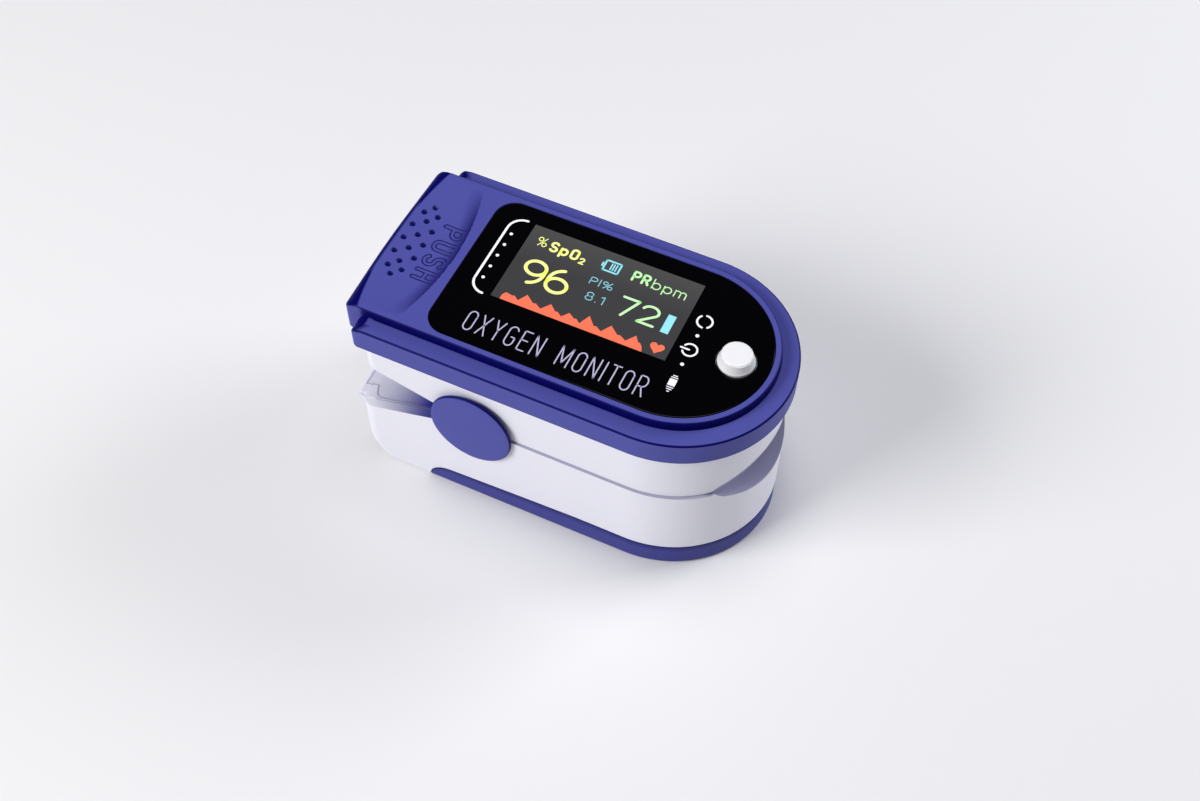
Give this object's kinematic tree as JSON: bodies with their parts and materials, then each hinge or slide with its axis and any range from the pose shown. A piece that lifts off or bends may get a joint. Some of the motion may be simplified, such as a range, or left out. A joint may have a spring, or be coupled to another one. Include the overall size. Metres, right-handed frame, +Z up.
{
  "type": "fingertip pulse oximeter",
  "caption": "Clamp-shaped fingertip oximeter with a rounded finger end, flush display window, round power button, oval hinge caps and a slide-off battery door.",
  "frame": {"origin": "centre of the bounding box's footprint, on the plane the oximeter stands on", "axes": "+X along the finger, out of the finger mouth; +Y across; +Z up through the display window"},
  "size_m": [0.0596, 0.0318, 0.0335],
  "materials": {
    "blue_shell": "satin moulded ABS, indigo blue",
    "white_shell": "semi-gloss moulded ABS, cool white",
    "window": "polished acrylic, back-printed black",
    "display": "dark display panel with lit characters",
    "gasket": "adhesive foam",
    "ribbon": "amber polyimide ribbon",
    "connector": "cream nylon",
    "circuit_board": "green solder mask",
    "chip": "moulded epoxy",
    "silicone": "soft matt silicone, pale grey-lavender",
    "clear_lens": "clear epoxy",
    "red_emitter": "red die in clear epoxy",
    "infrared_emitter": "dark die in clear epoxy",
    "photodiode": "dark filter epoxy",
    "cell_can": "plain sleeved metal can",
    "spring_steel": "nickel plated",
    "screw_steel": "zinc plated",
    "button": "satin white keycap",
    "plunger": "moulded nylon"
  },
  "bodies": {
    "lower_half": {"lower_housing": "white_shell", "lower_finger_tray": "white_shell", "lower_finger_pad": "silicone", "sensor_window": "clear_lens", "photodiode": "photodiode", "sensor_board": "circuit_board", "flex_cable": "ribbon", "battery_left": "cell_can", "battery_right": "cell_can", "contact_plate": "spring_steel", "contact_spring_front": "spring_steel", "contact_spring_rear": "spring_steel", "contact_bridge": "spring_steel", "lower_screw_1": "screw_steel", "lower_screw_2": "screw_steel", "lower_screw_3": "screw_steel", "lower_screw_4": "screw_steel", "hinge_shaft": "screw_steel", "torsion_spring_left": "spring_steel", "torsion_spring_right": "spring_steel", "hinge_cap_left": "blue_shell", "hinge_cap_right": "blue_shell"},
    "upper_half": {"top_cover": "blue_shell", "display_window": "window", "display_gasket": "gasket", "display_module": "display", "display_ribbon": "ribbon", "display_connector": "connector", "main_board": "circuit_board", "microcontroller": "chip", "analog_chip": "chip", "crystal": "spring_steel", "flex_connector": "connector", "tact_switch": "chip", "upper_housing": "white_shell", "upper_finger_tray": "white_shell", "upper_finger_pad": "silicone", "emitter_window": "clear_lens", "red_led": "red_emitter", "infrared_led": "infrared_emitter", "emitter_board": "circuit_board", "board_header": "chip", "upper_screw_1": "screw_steel", "upper_screw_2": "screw_steel", "upper_screw_3": "screw_steel", "upper_screw_4": "screw_steel"},
    "power_button": {"power_button": "button", "switch_plunger": "plunger"},
    "battery_door": {"battery_door": "blue_shell"}
  },
  "joints": [
    {"name": "clamp_hinge", "type": "hinge", "parent": "lower_half", "child": "upper_half", "pos_m": [-0.0095, 0, 0.0172], "axis": [0, -1, 0], "range_deg": [0, 28], "stiffness_Nm_per_rad": 0.15, "springref_deg": -20.05, "deforming": ["torsion_spring_left", "torsion_spring_right", "flex_cable"]},
    {"name": "button_press", "type": "slide", "parent": "upper_half", "child": "power_button", "axis": [0, 0, -1], "range_m": [0, 0.0004], "stiffness_N_per_m": 600, "springref_m": -0.0004},
    {"name": "door_slide", "type": "slide", "parent": "lower_half", "child": "battery_door", "axis": [1, 0, 0], "range_m": [0, 0.048]}
  ]
}
